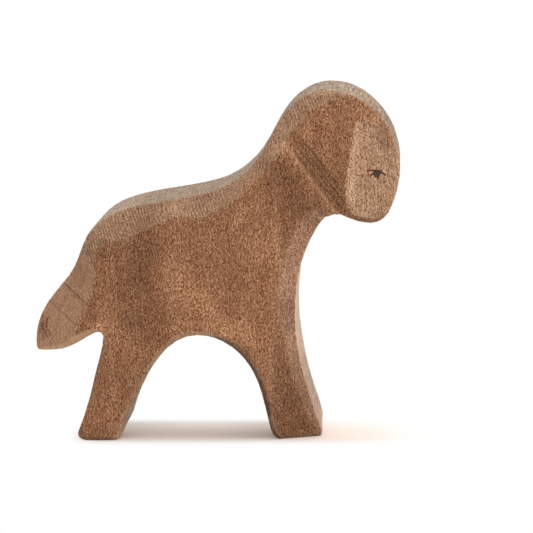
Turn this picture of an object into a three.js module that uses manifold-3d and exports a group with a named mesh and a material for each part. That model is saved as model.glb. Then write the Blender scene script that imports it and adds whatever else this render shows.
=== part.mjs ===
// A standing lamb carved from one piece of stained hardwood: a blank sawn to
// the side outline, then faceted alike on both sides with a knife.
// Millimetres, +Z up, +X towards the nose, alike on both sides of the XZ plane.
import * as THREE from 'three';
import { mergeVertices } from 'three/addons/utils/BufferGeometryUtils.js';
import Module from 'manifold-3d';

const wasm = await Module();
wasm.setup();

// Blank
const blankThickness = 18;
const crownHeight = 60;
const noseReach = 31.35;
const tailReach = 31.45;

// Head
const crownSetback = 12; // nose to the highest point of the head
const headLength = 20.6; // nose to the nape
const napeDrop = 6.2; // crown down to the nape
const noseHeight = 46.65;
const chinHeight = 37.55;
const chinSetback = 5.05;
const throatHeight = 39.45;
const throatSetback = 10.8;

// Neck, back and tail
const backHeight = 41.8;
const backPlace = -7.1;
const neckRise = 5.5; // back to the root of the neck
const neckRun = 13.7;
const hipHeight = 35.9;
const hipRun = 14.5; // back to the hip
const tailTipHeight = 15.6;
const tailTipRounding = 0.7;
const tailNotchHeight = 19.55;
const tailNotchPlace = -20.07;
const tailNotchRadius = 0.67;

// Legs and the arch under the belly
const bellyHeight = 18.65;
const bellyPlace = -3.3;
const rearHeelPlace = -24.45;
const rearToePlace = -17;
const frontHeelPlace = 8.85;
const frontToePlace = 17.25;
const shinPlace = 16.05;
const shinHeight = 5.3;
const chestPlace = 13.3;
const chestHeight = 21.3;
const footRounding = 1.5;

// Knife work, measured from the sawn edge and from the flat flank
const rimThickness = 14; // sawn band left between the facets of the two sides
const facetWidth = 2.4; // along the neck, and the measure of the other facets
const edgeInset = 0.6; // small break along the lower edges
const edgeDepth = 0.5;
const tailFacetWidth = 7;
const tailDepth = 3.1; // at the outer edge of the tail
const tailTipWidth = 2.1; // the hollow cut at the tip
const tailTipDepth = 0.8;
const cheekSlope = 0.125; // the cheeks run in towards the forehead
const cheekStep = 0.3;
const collarWidth = 3;
const collarDepth = 1;
const collarTopInset = 3.45; // ahead of the nape
const collarFootInset = 4; // ahead of the throat
const faceLength = 8.6; // nose back to the step behind the face
const faceHeight = 16.35;
const faceTopSetback = 5; // crown down to the top of the face
const faceDepth = 0.7;
const faceCove = 1.3; // width of the hollow round the face
const faceSlope = 0.04;
const browFade = 6; // the brow's step runs out over this length at the forehead
const chestDepth = 2.8; // of the facet down the chest, at the sawn edge
const legFacetPlace = 8.75; // where the front leg starts to thin, on the ground
const legLean = 0.085; // the line where it starts leans forward up the leg
const legTaper = 0.34;

// Fineness of the faces
const degreesPerStep = 8;
const longestStep = 2.5;
const overrun = 1; // how far a cutter stands past the wood
const weldDistance = 1e-5;
const tolerance = 0.005; // shallower folds in the surface are smoothed away

const halfThickness = blankThickness / 2;
const rimDepth = (blankThickness - rimThickness) / 2;
const crownPlace = noseReach - crownSetback;
const napePlace = noseReach - headLength;
const napeHeight = crownHeight - napeDrop;
const chinPlace = noseReach - chinSetback;
const throatPlace = noseReach - throatSetback;
const neckPlace = backPlace + neckRun;
const neckHeight = backHeight + neckRise;
const hipPlace = backPlace - hipRun;
const tailEnd = -tailReach;

const between = THREE.MathUtils.lerp;

// Side outline, walked with the wood on the left. Each turning point has a
// place and the heading of the saw there, in degrees from +X towards +Z; a
// corner also has the heading at which the saw leaves it.
const outline = {
  rearSole: turn(rearHeelPlace + footRounding, 0, 0),
  rearToeUnder: turn(rearToePlace - footRounding, 0, 0),
  rearToe: turn(rearToePlace, 0.6 * footRounding, 74),
  archRear: turn(between(rearToePlace, bellyPlace, 0.21), 0.4225 * bellyHeight, 63),
  belly: turn(bellyPlace, bellyHeight, 0),
  archFront: turn(between(frontHeelPlace, bellyPlace, 0.1), 0.44 * bellyHeight, -77),
  frontHeel: turn(frontHeelPlace, 1.6 * footRounding, -77),
  frontSole: turn(frontHeelPlace + 1.2 * footRounding, 0, 0),
  frontToeUnder: turn(frontToePlace - 0.5 * footRounding, 0, 0),
  frontToe: turn(frontToePlace, 0.6 * footRounding, 99),
  shin: turn(shinPlace, shinHeight, 107),
  chest: turn(chestPlace, chestHeight, 90),
  underThroat: turn(
    between(chestPlace, throatPlace, 0.55),
    between(chestHeight, throatHeight, 0.85),
    57,
  ),
  throat: turn(throatPlace, throatHeight, 5, -22),
  chin: turn(chinPlace, chinHeight, 0),
  muzzle: turn(between(chinPlace, noseReach, 0.675), between(chinHeight, noseHeight, 0.25), 62),
  nose: turn(noseReach, noseHeight, 90),
  forehead: turn(
    between(noseReach, crownPlace, 0.23),
    between(noseHeight, crownHeight, 0.633),
    126,
  ),
  crown: turn(crownPlace, crownHeight, 180),
  nape: turn(napePlace, napeHeight, 240),
  neck: turn(neckPlace, neckHeight, 226),
  withers: turn(between(backPlace, neckPlace, 0.628), between(backHeight, neckHeight, 0.345), 203),
  back: turn(backPlace, backHeight, 189),
  rump: turn(between(backPlace, hipPlace, 0.63), between(backHeight, hipHeight, 0.335), 200),
  hip: turn(hipPlace, hipHeight, 236),
  tailRoot: turn(between(hipPlace, tailEnd, 0.25), between(hipHeight, tailTipHeight, 0.263), 245),
  tailBack: turn(between(hipPlace, tailEnd, 0.65), between(hipHeight, tailTipHeight, 0.516), 228),
  tailTip: turn(tailEnd, between(hipHeight, tailTipHeight, 0.898), 269),
  tailCorner: turn(tailEnd, tailTipHeight + tailTipRounding, 271),
  tailUnder: turn(tailEnd + 0.8 * tailTipRounding, tailTipHeight, 358),
  tailBelly: turn(
    between(tailNotchPlace, tailEnd, 0.555),
    between(tailTipHeight, tailNotchHeight, 0.165),
    377,
  ),
  notchRear: turn(
    tailNotchPlace - tailNotchRadius,
    tailNotchHeight - 0.5 * tailNotchRadius,
    386,
  ),
  notchFront: turn(
    tailNotchPlace + tailNotchRadius,
    tailNotchHeight - 1.5 * tailNotchRadius,
    266,
  ),
  rearShank: turn(
    between(tailNotchPlace, rearHeelPlace, 0.245),
    between(tailNotchHeight, footRounding, 0.46),
    256,
  ),
  rearHeel: turn(rearHeelPlace, footRounding, 246),
};

function turn(x, z, heading, leaving = heading) {
  return { place: new THREE.Vector2(x, z), heading, leaving };
}

function direction(heading) {
  const angle = THREE.MathUtils.degToRad(heading);
  return new THREE.Vector2(Math.cos(angle), Math.sin(angle));
}

// One stretch of the outline: the Bezier curve nearest to an arc between two
// turning points.
function stretch(from, to) {
  const chord = from.place.distanceTo(to.place);
  const swing = headingChange(from, to);
  const sweep = THREE.MathUtils.degToRad(Math.max(Math.abs(swing), 1));
  const reach = (chord * 2 * Math.tan(sweep / 4)) / (3 * Math.sin(sweep / 2));
  return new THREE.CubicBezierCurve(
    from.place,
    from.place.clone().addScaledVector(direction(from.leaving), reach),
    to.place.clone().addScaledVector(direction(to.heading), -reach),
    to.place,
  );
}

function headingChange(from, to) {
  const change = to.heading - from.leaving;
  return ((((change + 180) % 360) + 360) % 360) - 180;
}

const stops = Object.keys(outline);

function stretchAfter(name) {
  const next = stops[(stops.indexOf(name) + 1) % stops.length];
  const from = outline[name];
  const to = outline[next];
  const curve = stretch(from, to);
  const bySwing = Math.abs(headingChange(from, to)) / degreesPerStep;
  const byLength = curve.getLength() / longestStep;
  return { curve, steps: Math.ceil(Math.max(bySwing, byLength, 1)) };
}

// The sawn blank
function sawnBlank() {
  const points = [];
  for (const name of stops) {
    const { curve, steps } = stretchAfter(name);
    points.push(...curve.getPoints(steps).slice(0, -1));
  }
  const blank = new THREE.ExtrudeGeometry(new THREE.Shape(points), {
    depth: blankThickness,
    bevelEnabled: false,
  });
  blank.translate(0, 0, -halfThickness);
  blank.rotateX(Math.PI / 2);
  return solidOf(blank);
}

function solidOf(geometry) {
  const bare = geometry.index ? geometry.toNonIndexed() : geometry.clone();
  bare.deleteAttribute('normal');
  bare.deleteAttribute('uv');
  const merged = mergeVertices(bare, weldDistance);
  return new wasm.Manifold(
    new wasm.Mesh({
      numProp: 3,
      vertProperties: new Float32Array(merged.attributes.position.array),
      triVerts: new Uint32Array(merged.index.array),
    }),
  );
}

// A closed solid through rings of equal count, with both end rings filled
function loft(rings) {
  const count = rings[0].length;
  const positions = rings.flat().flatMap((point) => [point.x, point.y, point.z]);
  const triangles = [];
  for (let ring = 0; ring + 1 < rings.length; ring += 1) {
    for (let side = 0; side < count; side += 1) {
      const a = ring * count + side;
      const b = ring * count + ((side + 1) % count);
      triangles.push(a, b, b + count, a, b + count, a + count);
    }
  }
  const last = (rings.length - 1) * count;
  for (let side = 1; side + 1 < count; side += 1) {
    triangles.push(0, side + 1, side);
    triangles.push(last, last + side, last + side + 1);
  }
  const geometry = new THREE.BufferGeometry();
  geometry.setAttribute('position', new THREE.Float32BufferAttribute(positions, 3));
  geometry.setIndex(facingOut(positions, triangles));
  return solidOf(geometry);
}

function facingOut(positions, triangles) {
  const corner = (index) => new THREE.Vector3().fromArray(positions, 3 * index);
  let volume = 0;
  for (let i = 0; i < triangles.length; i += 3) {
    const [a, b, c] = triangles.slice(i, i + 3).map(corner);
    volume += a.dot(b.cross(c));
  }
  return volume > 0 ? triangles : triangles.reverse();
}

// A point beside the outline: inset from the sawn edge, at the given
// distance from the middle plane.
function beside(place, inward, inset, offCentre) {
  return new THREE.Vector3(place.x + inward.x * inset, offCentre, place.y + inward.y * inset);
}

// A knife facet that follows the outline. It starts on the flank at a full
// width from the sawn edge and is a full depth deep at the edge; each station
// gives the share of both, and how far the wood lies below the flank where an
// earlier facet has thinned it. The stroke can run out straight past its end.
function edgeFacet(width, depth, stations, runOut = 0, margin = overrun) {
  const sized = stations.map((spot) => ({
    ...spot,
    inset: width * spot.widthShare,
    drop: depth * spot.depthShare,
  }));
  const rings = [];
  for (let i = 0; i + 1 < sized.length; i += 1) {
    const from = sized[i];
    const to = sized[i + 1];
    const { curve, steps } = stretchAfter(from.after);
    const until = to.after === from.after ? to.part : 1;
    const count = Math.max(2, Math.ceil(2 * steps * (until - from.part)));
    const first = i === 0 ? 0 : 1;
    for (let step = first; step <= count; step += 1) {
      const share = step / count;
      const at = between(from.part, until, share);
      const inset = between(from.inset, to.inset, share);
      const drop = between(from.drop, to.drop, share);
      const surface = halfThickness - between(from.sunk, to.sunk, share);
      const place = curve.getPoint(at);
      rings.push(facetSection(place, curve.getTangent(at), surface, inset, drop, margin));
    }
  }
  if (runOut > 0) {
    const last = sized.at(-1);
    const { curve } = stretchAfter(last.after);
    const along = curve.getTangent(last.part);
    const place = curve.getPoint(last.part).addScaledVector(along, runOut);
    const surface = halfThickness - last.sunk;
    rings.push(facetSection(place, along, surface, last.inset, last.drop, margin));
  }
  return loft(rings);
}

function facetSection(place, along, surface, inset, drop, margin) {
  const inward = new THREE.Vector2(-along.y, along.x);
  const slope = drop / inset;
  const above = halfThickness + slope * margin + overrun;
  return [
    beside(place, inward, inset + margin, surface + slope * margin),
    beside(place, inward, -margin, surface - drop - slope * margin),
    beside(place, inward, -margin, above),
    beside(place, inward, inset + margin, above),
  ];
}

function station(after, part, widthShare, depthShare, sunk = 0) {
  return { after, part, widthShare, depthShare, sunk };
}

// Facets from the crown down the neck and back to the hip; the width swells
// and narrows where one stroke of the knife gives way to the next.
function backFacet() {
  return edgeFacet(facetWidth, rimDepth, [
    station('forehead', 0.6, 0.12, 0.05),
    station('crown', 0, 0.55, 0.8),
    station('crown', 0.5, 1, 1),
    station('nape', 0, 1, 1),
    station('neck', 0, 0.75, 1),
    station('withers', 0, 1.1, 1),
    station('withers', 0.45, 1.5, 1),
    station('back', 0, 1.1, 0.9),
    station('rump', 0, 2.05, 1.1),
    station('hip', 0, 1.2, 1),
    station('hip', 0.3, 0.8, 1),
  ]);
}

// One broad facet thins the tail from the rear leg out to its tip, and a
// short one hollows the tip.
function tailFacet() {
  const walk = [
    station('hip', 0, 0.23, 0.68),
    station('tailRoot', 0, 0.59, 0.84),
    station('tailBack', 0, 0.87, 0.97),
    station('tailTip', 0, 1, 1),
  ];
  return edgeFacet(tailFacetWidth, tailDepth, walk, 0.4 * tailFacetWidth);
}

function tailTipFacet() {
  return edgeFacet(tailTipWidth, tailTipDepth, [
    station('tailBack', 0.45, 0.12, 0.1, 0.96 * tailDepth),
    station('tailBack', 0.85, 1, 1, 0.75 * tailDepth),
    station('tailTip', 0.3, 0.3, 0.3, 0.9 * tailDepth),
  ]);
}

// Up the front of the front leg, chest and throat; it grows out of the small
// break at the toe.
function chestFacet() {
  const walk = [
    legStation('frontToe', 0, 0.2, 0.12),
    legStation('frontToe', 0.6, 0.42, 0.4),
    legStation('shin', 0, 0.5, 0.47),
    legStation('shin', 0.35, 0.6, 0.62),
    legStation('shin', 0.8, 0.72, 0.82),
    station('chest', 0.2, 1.07, 1),
    station('chest', 0.6, 1.1, 0.93),
    station('underThroat', 0, 1.25, 0.75),
    station('underThroat', 0.55, 1, 0.64),
  ];
  return edgeFacet(facetWidth, chestDepth, walk, 0.5 * overrun);
}

// Under the jaw, from the throat to the front of the muzzle
function jawFacet() {
  return edgeFacet(facetWidth, rimDepth, [
    station('throat', 0.1, 0.8, 0.9),
    station('throat', 0.7, 0.8, 1),
    station('chin', 0.4, 0.62, 1),
    station('muzzle', 0.3, 0.38, 0.9),
  ]);
}

// A small break along the lower edges: tail, legs, soles and arch
function lowerEdgeBreak() {
  const walk = [
    'notchFront', 'rearShank', 'rearHeel', 'rearSole', 'rearToeUnder', 'rearToe',
    'archRear', 'belly', 'archFront', 'frontHeel', 'frontSole', 'frontToeUnder', 'frontToe',
  ];
  const stations = walk.map((name) => legStation(name, 0, 1, 1, edgeInset));
  stations.push(legStation('shin', 0.1, 1, 1, edgeInset));
  return edgeFacet(edgeInset, edgeDepth, stations, 0, 0.6 * edgeInset);
}

function tailEdgeBreak() {
  return edgeFacet(edgeInset, edgeDepth, [
    station('tailUnder', 0, 0.2, 0.2, 0.93 * tailDepth),
    station('tailUnder', 0.4, 1, 1, 0.68 * tailDepth),
    station('tailBelly', 0, 1, 1, 0.29 * tailDepth),
    station('notchRear', 0, 1, 1),
  ]);
}

// The wood above a sloping plane, over a four-cornered patch of the flank.
// The plane is given by the distance from the middle at any place on it.
function flankCut(corners, offCentreAt) {
  const floor = corners.map((corner) => new THREE.Vector3(corner.x, offCentreAt(corner), corner.y));
  const roof = floor.map((point) => point.clone().setY(halfThickness + overrun));
  return loft([floor, roof]);
}

// The collar runs straight from behind the nape down to the throat
const collarTop = new THREE.Vector2(napePlace + collarTopInset, napeHeight);
const collarFoot = new THREE.Vector2(throatPlace + collarFootInset, throatHeight);
const collarRun = collarFoot.clone().sub(collarTop);
const downCollar = collarRun.clone().normalize();
const aheadOfCollar = new THREE.Vector2(-downCollar.y, downCollar.x);

function cheekOffCentre(place) {
  const ahead = place.clone().sub(collarTop).dot(aheadOfCollar);
  return halfThickness - cheekStep - cheekSlope * ahead;
}

function cheekCut() {
  const past = 2 * headLength;
  const top = collarTop.clone().addScaledVector(downCollar, -past);
  const foot = collarFoot.clone().addScaledVector(downCollar, past);
  const corners = [
    top,
    foot,
    foot.clone().addScaledVector(aheadOfCollar, past),
    top.clone().addScaledVector(aheadOfCollar, past),
  ];
  return flankCut(corners, cheekOffCentre);
}

// Across the collar two slanting cuts fall away from the cheek and two climb
// back to the neck. It starts shallow under the nape.
function collarGroove() {
  const across = [
    { place: -0.35, depth: -0.4 },
    { place: 0.1, depth: 0.25 },
    { place: 0.55, depth: 1 },
    { place: 0.87, depth: 0.5 },
    { place: 1.02, depth: -0.4 },
  ];
  const section = (along, strength) =>
    across.map(({ place, depth }) => {
      const spot = collarTop.clone().addScaledVector(downCollar, along);
      spot.addScaledVector(aheadOfCollar, -collarWidth * place);
      const sunk = depth > 0 ? depth * strength : depth;
      return new THREE.Vector3(spot.x, halfThickness - cheekStep - collarDepth * sunk, spot.y);
    });
  const length = collarRun.length();
  return loft([
    section(-0.25 * collarWidth, 0.1),
    section(0.75 * collarWidth, 0.8),
    section(0.45 * length, 1),
    section(length + overrun, 1.1),
  ]);
}

// The face is sunk behind a hollow step and a low brow, and open at the nose
function faceCut() {
  const faceBack = noseReach - faceLength;
  const faceTop = crownHeight - faceTopSetback;
  const faceFoot = faceTop - faceHeight;
  const past = noseReach + overrun;
  const inFace = (along, up) =>
    new THREE.Vector2(faceBack + along * faceLength, faceFoot + up * faceHeight);
  const browEnd = new THREE.Vector2(past, faceTop - 0.275 * faceHeight);
  const border = [
    inFace(0.2, 1),
    inFace(0.1, 0.55),
    inFace(0, 0.23),
    inFace(0.035, 0.12),
    inFace(0.14, 0.04),
    insideOutline('throat', 0.85, 0.85 * faceCove),
    insideOutline('chin', 0.15, 0.7 * faceCove),
    insideOutline('chin', 0.7, 0.3 * faceCove),
    new THREE.Vector2(past, faceFoot),
    browEnd,
    insideOutline('nose', 0.5, 0.23 * faceCove),
    insideOutline('nose', 0.75, 0.6 * faceCove),
    insideOutline('forehead', 0, 1.1 * faceCove),
    insideOutline('forehead', 0.16, 1.6 * faceCove),
    insideOutline('forehead', 0.3, 2.15 * faceCove),
  ];
  const steps = [
    { inward: -0.3, depth: -0.6 },
    { inward: 0, depth: 0 },
    { inward: 0.25, depth: 0.5 },
    { inward: 0.6, depth: 0.85 },
    { inward: 1, depth: 1 },
  ];
  const sunk = (spot, depth) => {
    const full = faceDepth * depth + faceSlope * (spot.x - faceBack);
    const fade = spot.y < browEnd.y ? 1 : Math.min(1, spot.distanceTo(browEnd) / browFade);
    return depth > 0 ? full * fade : faceDepth * depth;
  };
  const rings = steps.map(({ inward, depth }) =>
    drawIn(border, faceCove * inward).map(
      (spot) => new THREE.Vector3(spot.x, cheekOffCentre(spot) - sunk(spot, depth), spot.y),
    ),
  );
  return loft(rings);
}

function insideOutline(after, part, inset) {
  const { curve } = stretchAfter(after);
  const along = curve.getTangent(part);
  return curve.getPoint(part).add(new THREE.Vector2(-along.y, along.x).multiplyScalar(inset));
}

// A closed border moved inwards by an equal distance all round
function drawIn(border, distance) {
  return border.map((spot, i) => {
    const before = border.at(i - 1);
    const after = border[(i + 1) % border.length];
    const along = after.clone().sub(before).normalize();
    return new THREE.Vector2(spot.x - along.y * distance, spot.y + along.x * distance);
  });
}

// The front leg thins towards its front edge, from a line that leans forward
// up the leg.
function legCut() {
  const top = 1.2 * chestHeight;
  const past = frontToePlace + 2 * overrun;
  const corners = [
    new THREE.Vector2(legLineAt(-overrun), -overrun),
    new THREE.Vector2(past, -overrun),
    new THREE.Vector2(past, top),
    new THREE.Vector2(legLineAt(top), top),
  ];
  return flankCut(corners, (place) => halfThickness - legThinning(place));
}

function legLineAt(height) {
  return legFacetPlace + legLean * height;
}

function legThinning(place) {
  return legTaper * Math.max(0, place.x - legLineAt(place.y));
}

// A station of an edge facet where the leg's own facet may lie below it
function legStation(after, part, widthShare, depthShare, width = facetWidth) {
  const sunk = legThinning(insideOutline(after, part, width * widthShare));
  return station(after, part, widthShare, depthShare, sunk);
}

function carvedLamb() {
  const cuts = [
    cheekCut(),
    legCut(),
    backFacet(),
    tailFacet(),
    tailTipFacet(),
    chestFacet(),
    jawFacet(),
    collarGroove(),
    faceCut(),
    lowerEdgeBreak(),
    tailEdgeBreak(),
  ];
  let body = sawnBlank();
  for (const cut of cuts) {
    body = body.subtract(cut).subtract(cut.mirror([0, 1, 0]));
  }
  return body.asOriginal().simplify(tolerance);
}

function geometryOf(solid) {
  const mesh = solid.getMesh();
  const geometry = new THREE.BufferGeometry();
  geometry.setAttribute('position', new THREE.Float32BufferAttribute(mesh.vertProperties, 3));
  geometry.setIndex(new THREE.Uint32BufferAttribute(mesh.triVerts, 1));
  const box = new THREE.Box3().setFromBufferAttribute(geometry.attributes.position);
  geometry.translate(-(box.min.x + box.max.x) / 2, 0, -box.min.z);
  const faceted = geometry.toNonIndexed();
  faceted.computeVertexNormals();
  return faceted;
}

const stainedWood = new THREE.MeshStandardMaterial({
  color: 0x94694c,
  roughness: 0.75,
  metalness: 0,
});

const lamb = new THREE.Mesh(geometryOf(carvedLamb()), stainedWood);
lamb.name = 'lamb_body';

const figure = new THREE.Group();
figure.add(lamb);

export default figure;
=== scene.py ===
import functools
import math

import bpy
import numpy as np
from mathutils import Matrix, Vector, noise
from mathutils.bvhtree import BVHTree

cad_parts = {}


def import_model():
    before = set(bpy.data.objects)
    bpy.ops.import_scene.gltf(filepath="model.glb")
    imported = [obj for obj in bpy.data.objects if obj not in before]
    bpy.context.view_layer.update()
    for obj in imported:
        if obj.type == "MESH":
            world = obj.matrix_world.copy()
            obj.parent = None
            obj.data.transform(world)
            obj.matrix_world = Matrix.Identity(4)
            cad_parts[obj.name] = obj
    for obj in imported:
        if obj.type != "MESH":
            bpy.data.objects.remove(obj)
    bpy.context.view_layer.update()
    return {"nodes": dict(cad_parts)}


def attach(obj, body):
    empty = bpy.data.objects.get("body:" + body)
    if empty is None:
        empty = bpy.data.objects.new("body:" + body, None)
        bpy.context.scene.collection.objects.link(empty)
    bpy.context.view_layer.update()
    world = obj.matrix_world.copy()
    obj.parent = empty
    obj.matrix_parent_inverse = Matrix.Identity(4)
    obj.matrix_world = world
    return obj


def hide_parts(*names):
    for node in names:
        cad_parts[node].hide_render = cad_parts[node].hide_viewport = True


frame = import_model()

MM = 0.001
FAR = 1e9

# The carved skin: lengths in millimetres, and rounds of spreading over its mesh
VOXEL = 0.27
SOFTENING_ROUNDS = 1
SOFTENING_SHARE = 0.5
NORMAL_ROUNDS = 2
SKIN = 0.06  # raised fibres and stain over the sawn size
WEAR_ROUNDS = 3
FULL_WEAR = 0.06  # how far an arris stands out where it is worn right through
TOOL_WAVE = 6.5
TOOL_DEPTH = 0.07
WAVES_ON_FLAT = 0.6  # share of the tool waves on the flat flank
WAVES_ON_CUT = 0.8  # what a knife cut adds to that share
CHATTER_WAVE = 2.2
CHATTER_DEPTH = 0.028
CHATTER_SHIFT = 40  # reads the chatter from another place in the noise
FIBRE_WIDTH = 0.8
FIBRE_LENGTH = 6.0
FIBRE_DEPTH = 0.016

# The front toe, cut a little askew: how far it comes forward at the ground
TOE_FORWARD = 0.13
TOE_SKEW = 0.25  # more on the right flank and less on the left
SKEW_AT = 7  # how far from the middle of the board that much is reached
TOE_START = (12, 16)
TOE_HEIGHT = 4.5

# How square on the solid faces the flank, 1 on the flat and 0 on the sawn band: each pair is
# where one kind of surface starts to end and where it has ended
SAWN_BAND_END = (0.45, 0.55)
ARCH_BREAK_END = (0.86, 0.95)
KNIFE_CUT_END = (0.925, 0.94)
LEG_FACET_END = (0.96, 0.98)
CARVED_END = (0.95, 0.999)

# How far the solid faces forward or up, as pairs of the same kind
FACES_CHEST = (0.2, 0.6)
FACES_BROW = (0.4, 0.8)
FACES_BACK = (-0.35, -0.1)
END_GRAIN_FACING = (0.2, 0.45)
SIDE_GRAIN_FACING = (0.27, 0.5)
UNDERSIDE_FACING = (-0.35, -0.2)

# Places in the plane of the flank, along and up in millimetres: each pair is the stretch over
# which the edge of a mask fades
NEAR_MIDDLE = 4.0  # marks on the flanks stop this close to the middle of the board
THROAT_LEVEL = (36, 38)
LEG_FACET_FOOT = (8, 9)
LEG_FACET_TOP = (22, 27)
ARCH_MIDDLE = (-6, 0)
ARCH_TOP = (19, 20.5)
ARCH_EDGE_GAIN = 1.6  # makes up for the softening of that thin edge
HEEL_FRONT = (-19, -18)
HEEL_TOP = (17.0, 17.6)
HEEL_SLOPE = 0.36  # the top of the plain heel rises forward from this place
HEEL_PLACE = -20
NAPE_LEVEL = (43, 45)
NAPE_FRONT = (22, 24)
TAIL_FRONT = (-21.5, -19.5)
TAIL_TOP = (30, 34)
TAIL_LEAN = 0.35  # the tail's front edge leans back above this level
TAIL_LEVEL = 28
TAIL_ROUNDS = 30  # rounds of softening that fill the gaps in the tail's mask
TAIL_SHARE = (0.05, 0.4)  # the softened mask's values between which the tail comes in
CHEST_BACK = (7, 9)
CHEST_TOP = (40, 42)
UNDER_TAIL = (14.2, 15)

# The sunk face, round its border in the plane of the flank
FACE_BORDER = [
    (24.3, 54.7), (22.8, 46.0), (22.45, 42.3), (22.7, 40.6), (23.5, 39.3), (25.4, 38.65), (27.4, 38.6),
    (29.2, 39.5), (32.5, 41.5), (32.5, 48.5), (31.1, 49.7), (30.2, 50.9), (29.5, 52.3), (28.4, 53.7),
    (27.1, 54.6), (25.7, 55.1),
]
FACE_EDGE = 0.2
BROW_WIDTH = 0.9
# The hollow's paleness is partly wear and partly a painted highlight
COVE_START = (-0.3, 0.05)  # the pale hollow inside the border, by how far inside it lies
COVE_SHOULDER = (0.4, 0.8)
COVE_END = (1.6, 3.6)
COVE_DIP = 0.25  # how much of the hollow's paleness the shoulder takes
COVE_FRONT = (25.6, 28.0)
COVE_LEAN = 0.15  # the hollow's front edge leans back above this level
COVE_LEVEL = 46

# The knife cut down the nape, round its border in the same plane; it runs out past the outline
NAPE_CUT = [
    (23.2, 59.2), (19.7, 58.4), (18.3, 57.6), (16.6, 56.6), (15.3, 54.9), (13.1, 52.9), (12.1, 50.9),
    (11.5, 49.8), (9.1, 47.4), (6.5, 45.1), (4.0, 43.1), (2.0, 47.0), (9.0, 58.0), (16.0, 64.0), (23.2, 62.0),
]
NAPE_EDGE = 0.15

# The band behind the cheek: its lower line, and how far up from it the rest lies
COLLAR_TOP = (12.0, 50.9)
COLLAR_FOOT = (21.3, 38.6)
COLLAR_BELOW = -0.3
COLLAR_ABOVE = 3.3
COLLAR_EDGE = 3.45  # a thin dark line ends the cut
# Painted shade: the thin dark line along the cut's upper edge, and a faint darkening of its slope
COLLAR_LINE = 0.22
COLLAR_LINE_SHARE = 0.5
COLLAR_SLOPE = (0.75, 1.05)
COLLAR_SLOPE_SHARE = 0.1
COLLAR_SLOPE_END = (COLLAR_EDGE - 0.1, COLLAR_EDGE + 0.2)
COLLAR_CUT = (0.4, 0.9)
COLLAR_CUT_END = (COLLAR_EDGE, COLLAR_EDGE + 0.3)
COLLAR_HEAD = (0.3, 4.5)  # along the band, from its top
COLLAR_TAIL = (-2.2, 0.2)  # along the band, from its foot
RIDGE_WIDTH = 0.6
RIDGE_HEAD = (1.5, 4)
BESIDE_FACE = (-0.6, 0.0)

# Wear along the arrises
WORN = (0.3, 1.1)
RIDGE_SPARED = 0.4
RIM_SPARED = 0.7
BY_RIM = (0.04, 0.3)
BY_RIM_ROUNDS = 5
LEAST_UPWARD = -0.1

# Colours as they show on a screen: stain, with painted light and shade where noted. The rows of the cut table
# are laid one over another: the mask that keeps the place, how strongly the colour covers it, and the colour
FLANK_DEEP = (140, 95, 64)
FLANK_THIN = (157, 110, 77)
BAND_TINT = (236, 231, 225)
LEG_FACET_TONE = (114, 76, 49)
BEVEL_DEEP = (145, 109, 81)
BEVEL_THIN = (159, 121, 91)
CHEST_UPPER = (146, 107, 80)
CHEST_LOWER = (128, 91, 67)
CHEST_CHANGE = (28, 23)
CUT_STAIN_AND_PAINTED_LIGHT = [
    ("tail", 1.0, (167, 125, 94)),
    # The sawn band's grey tone where it faces up is partly a painted sheen of the overhead light; where it
    # faces sideways it keeps its own brown
    ("rim", 1.0, (147, 124, 101)),
    ("upright_rim", 1.0, (152, 107, 74)),
    # Painted highlight: the chest's front strip is paler where it faces the light from the right
    ("front_rim", 1.0, (174, 145, 119)),
    # Painted shade: the sawn band is darker where it faces forward on the head
    ("brow_rim", 0.5, (118, 96, 76)),
    # Painted shade on the edge of the arch, which faces away from the light
    ("arch_edge", 0.85, (66, 42, 28)),
    ("face", 1.0, (165, 126, 96)),
    # The hollow behind the face is pale partly from wear and partly as a painted highlight where it faces the
    # light from the right
    ("cove", 1.0, (176, 137, 106)),
    # Painted shade on the slope of the collar's cut and along its upper edge
    ("collar", 0.42, (98, 70, 46)),
]
RING_STAIN = (104, 74, 54)
TICK_STAIN = (200, 164, 132)
TAIL_LINE_STAIN = (96, 64, 46)
# Dark stain, also the colour of the painted shade among the dark places
DARK_STAIN_AND_SHADE = (102, 66, 40)
# Painted shade for the soles' lower edge: contact shadow and the edge break that faces down
SOLE_SHADE = (78, 46, 32)
STREAK_DARK = (84, 57, 36)
STREAK_PALE = (164, 122, 88)
WORN_ARRIS = (198, 160, 124)
WORN_UNDER_TAIL = (196, 156, 120)
HOLLOW_DARK = (86, 56, 38)

# Growth rings, in millimetres
RIM_RING_SPACING = 0.62
BEVEL_RING_SPACING = 0.58
TAIL_RING_SPACING = 0.52
RIM_RING_LEAN = 0.35
BEVEL_RING_LEAN = 0.42
WANDER = 1.6
TAIL_GRAIN = (0.583, 0.812)  # along and up, the direction across the tail's lines
TAIL_LINES = [(7.16, 0.8), (6.72, 0.3), (3.05, 0.5)]  # where each clear line lies, and its strength
TAIL_LINE_EDGE = (0.2, 0.05)
TAIL_WANDER = 0.25  # of the wander of the rings

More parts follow.
